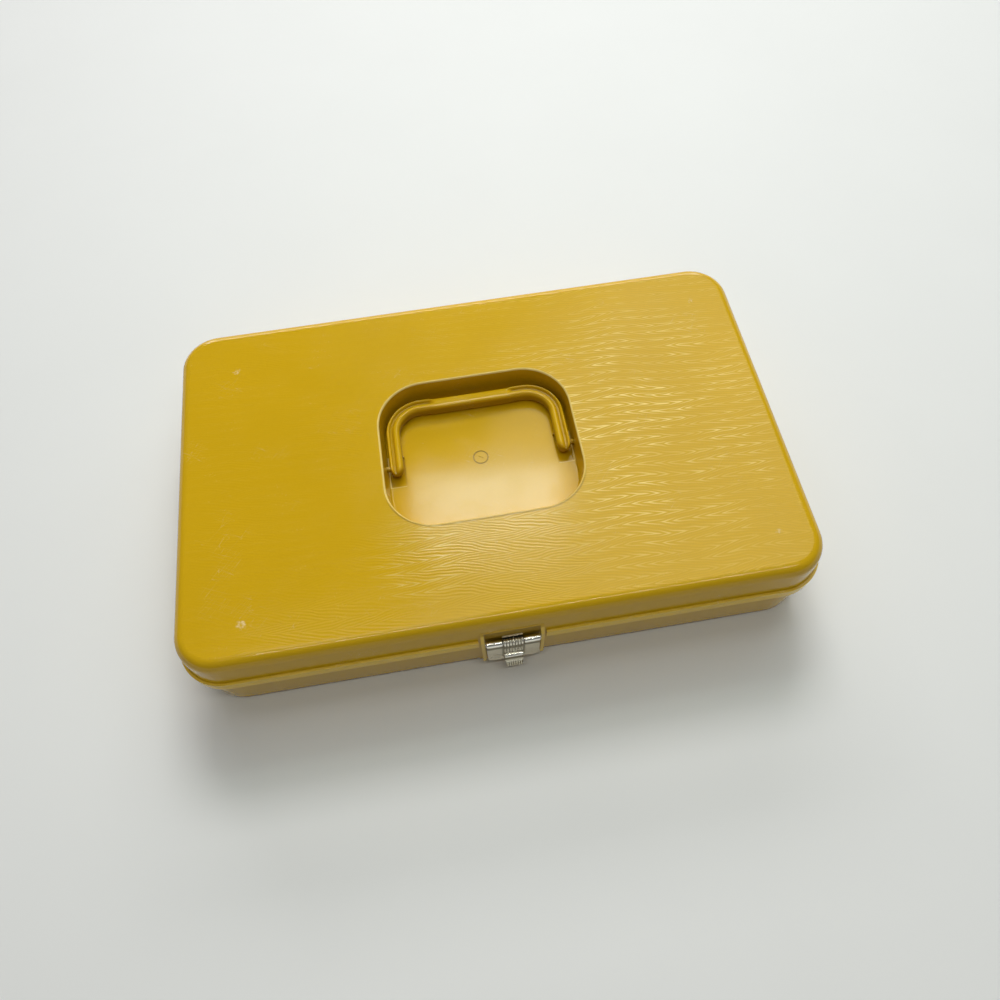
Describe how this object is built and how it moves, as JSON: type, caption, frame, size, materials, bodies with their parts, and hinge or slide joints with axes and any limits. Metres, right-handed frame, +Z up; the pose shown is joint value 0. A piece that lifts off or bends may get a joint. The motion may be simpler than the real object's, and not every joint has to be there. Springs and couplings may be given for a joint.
{
  "type": "sewing box",
  "caption": "Flat hinged moulded-plastic sewing box with a folding bail handle in a lid well, a stamped snap hasp and a lift-out tray of bays and reel pegs.",
  "frame": {"origin": "middle of the flat underside, on the surface that the box stands on", "axes": "+X to the right along the box's length, +Y from the latch to the hinges, +Z up"},
  "size_m": [0.3178, 0.2148, 0.057],
  "materials": {
    "gold_plastic": "moulded harvest-gold plastic, semi-gloss, with a fine engraved moire grain on the lid",
    "cream_plastic": "moulded cream plastic, semi-gloss",
    "steel_pin": "bright drawn steel wire",
    "nickel_plate": "stamped steel, warm nickel plate, satin with bright edges",
    "zinc_fastener": "zinc-plated"
  },
  "bodies": {
    "base": {"base_shell": "gold_plastic", "hinge_pin_left": "steel_pin", "hinge_pin_right": "steel_pin", "keeper_plate": "nickel_plate", "keeper_rivets": "zinc_fastener", "keeper_washers": "zinc_fastener", "lift_out_tray": "cream_plastic"},
    "lid": {"lid_shell": "gold_plastic", "hasp_hinge_leaf": "nickel_plate", "hasp_leaf_screws": "zinc_fastener", "hasp_pivot_pin": "steel_pin"},
    "handle": {"carry_handle": "gold_plastic"},
    "hasp": {"snap_hasp": "nickel_plate"}
  },
  "joints": [
    {"name": "lid_hinge", "type": "hinge", "parent": "base", "child": "lid", "pos_m": [0, 0.105, 0.036], "axis": [-1, 0, 0], "range_deg": [0, 105]},
    {"name": "handle_pivot", "type": "hinge", "parent": "lid", "child": "handle", "pos_m": [0, -0.0015, 0.04605], "axis": [1, 0, 0], "range_deg": [0, 168]},
    {"name": "hasp_pivot", "type": "hinge", "parent": "lid", "child": "hasp", "pos_m": [0, -0.1023, 0.0385], "axis": [-1, 0, 0], "range_deg": [0, 110]}
  ]
}
